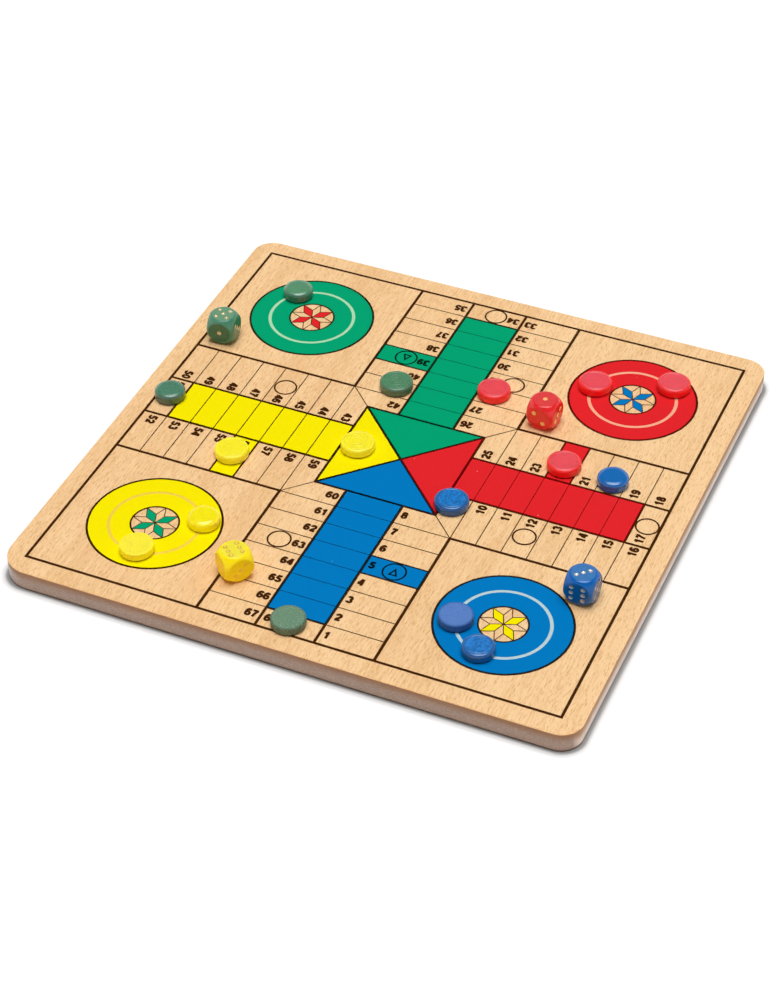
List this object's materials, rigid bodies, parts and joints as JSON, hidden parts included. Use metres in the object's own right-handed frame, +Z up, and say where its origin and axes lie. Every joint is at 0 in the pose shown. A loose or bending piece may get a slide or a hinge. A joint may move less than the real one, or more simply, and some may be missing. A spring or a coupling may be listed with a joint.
{
  "type": "parcheesi board",
  "caption": "Square veneered board printed with a cross-shaped race course, coloured home circles and goal lanes, with turned counters and ball-rounded dice that lift off.",
  "frame": {"origin": "centre of the board's underside", "axes": "+Z up out of the printed face, the blue arm of the course towards -Y, the red arm towards +X"},
  "size_m": [0.33, 0.33, 0.029],
  "materials": {
    "fibreboard": "raw sawn edge",
    "beech_veneer": "satin lacquer",
    "black_ink": "printed ink",
    "blue_ink": "printed ink",
    "blue_paint": "satin paint",
    "red_ink": "printed ink",
    "red_paint": "satin paint",
    "green_ink": "printed ink",
    "green_paint": "satin paint",
    "yellow_ink": "printed ink",
    "yellow_paint": "satin paint",
    "gold_pip_paint": "gold paint",
    "silver_pip_paint": "silver paint"
  },
  "bodies": {
    "board": {"core_panel": "fibreboard", "top_veneer": "beech_veneer", "back_veneer": "beech_veneer", "black_print": "black_ink", "blue_print": "blue_ink", "red_print": "red_ink", "green_print": "green_ink", "yellow_print": "yellow_ink"},
    "blue_counter_1": {"blue_counter_1": "blue_paint"},
    "blue_counter_2": {"blue_counter_2": "blue_paint"},
    "blue_counter_3": {"blue_counter_3": "blue_paint"},
    "blue_counter_4": {"blue_counter_4": "blue_paint"},
    "red_counter_1": {"red_counter_1": "red_paint"},
    "red_counter_2": {"red_counter_2": "red_paint"},
    "red_counter_3": {"red_counter_3": "red_paint"},
    "red_counter_4": {"red_counter_4": "red_paint"},
    "green_counter_1": {"green_counter_1": "green_paint"},
    "green_counter_2": {"green_counter_2": "green_paint"},
    "green_counter_3": {"green_counter_3": "green_paint"},
    "green_counter_4": {"green_counter_4": "green_paint"},
    "yellow_counter_1": {"yellow_counter_1": "yellow_paint"},
    "yellow_counter_2": {"yellow_counter_2": "yellow_paint"},
    "yellow_counter_3": {"yellow_counter_3": "yellow_paint"},
    "yellow_counter_4": {"yellow_counter_4": "yellow_paint"},
    "blue_die": {"blue_die": "blue_paint", "blue_die_pips": "silver_pip_paint"},
    "red_die": {"red_die": "red_paint", "red_die_pips": "gold_pip_paint"},
    "green_die": {"green_die": "green_paint", "green_die_pips": "gold_pip_paint"},
    "yellow_die": {"yellow_die": "yellow_paint", "yellow_die_pips": "silver_pip_paint"}
  },
  "joints": [
    {"name": "blue_counter_1_lift", "type": "slide", "parent": "board", "child": "blue_counter_1", "axis": [0, 0, 1], "range_m": [0, 0.04]},
    {"name": "blue_counter_2_lift", "type": "slide", "parent": "board", "child": "blue_counter_2", "axis": [0, 0, 1], "range_m": [0, 0.04]},
    {"name": "blue_counter_3_lift", "type": "slide", "parent": "board", "child": "blue_counter_3", "axis": [0, 0, 1], "range_m": [0, 0.04]},
    {"name": "blue_counter_4_lift", "type": "slide", "parent": "board", "child": "blue_counter_4", "axis": [0, 0, 1], "range_m": [0, 0.04]},
    {"name": "red_counter_1_lift", "type": "slide", "parent": "board", "child": "red_counter_1", "axis": [0, 0, 1], "range_m": [0, 0.04]},
    {"name": "red_counter_2_lift", "type": "slide", "parent": "board", "child": "red_counter_2", "axis": [0, 0, 1], "range_m": [0, 0.04]},
    {"name": "red_counter_3_lift", "type": "slide", "parent": "board", "child": "red_counter_3", "axis": [0, 0, 1], "range_m": [0, 0.04]},
    {"name": "red_counter_4_lift", "type": "slide", "parent": "board", "child": "red_counter_4", "axis": [0, 0, 1], "range_m": [0, 0.04]},
    {"name": "green_counter_1_lift", "type": "slide", "parent": "board", "child": "green_counter_1", "axis": [0, 0, 1], "range_m": [0, 0.04]},
    {"name": "green_counter_2_lift", "type": "slide", "parent": "board", "child": "green_counter_2", "axis": [0, 0, 1], "range_m": [0, 0.04]},
    {"name": "green_counter_3_lift", "type": "slide", "parent": "board", "child": "green_counter_3", "axis": [0, 0, 1], "range_m": [0, 0.04]},
    {"name": "green_counter_4_lift", "type": "slide", "parent": "board", "child": "green_counter_4", "axis": [0, 0, 1], "range_m": [0, 0.04]},
    {"name": "yellow_counter_1_lift", "type": "slide", "parent": "board", "child": "yellow_counter_1", "axis": [0, 0, 1], "range_m": [0, 0.04]},
    {"name": "yellow_counter_2_lift", "type": "slide", "parent": "board", "child": "yellow_counter_2", "axis": [0, 0, 1], "range_m": [0, 0.04]},
    {"name": "yellow_counter_3_lift", "type": "slide", "parent": "board", "child": "yellow_counter_3", "axis": [0, 0, 1], "range_m": [0, 0.04]},
    {"name": "yellow_counter_4_lift", "type": "slide", "parent": "board", "child": "yellow_counter_4", "axis": [0, 0, 1], "range_m": [0, 0.04]},
    {"name": "blue_die_lift", "type": "slide", "parent": "board", "child": "blue_die", "axis": [0, 0, 1], "range_m": [0, 0.04]},
    {"name": "red_die_lift", "type": "slide", "parent": "board", "child": "red_die", "axis": [0, 0, 1], "range_m": [0, 0.04]},
    {"name": "green_die_lift", "type": "slide", "parent": "board", "child": "green_die", "axis": [0, 0, 1], "range_m": [0, 0.04]},
    {"name": "yellow_die_lift", "type": "slide", "parent": "board", "child": "yellow_die", "axis": [0, 0, 1], "range_m": [0, 0.04]}
  ]
}
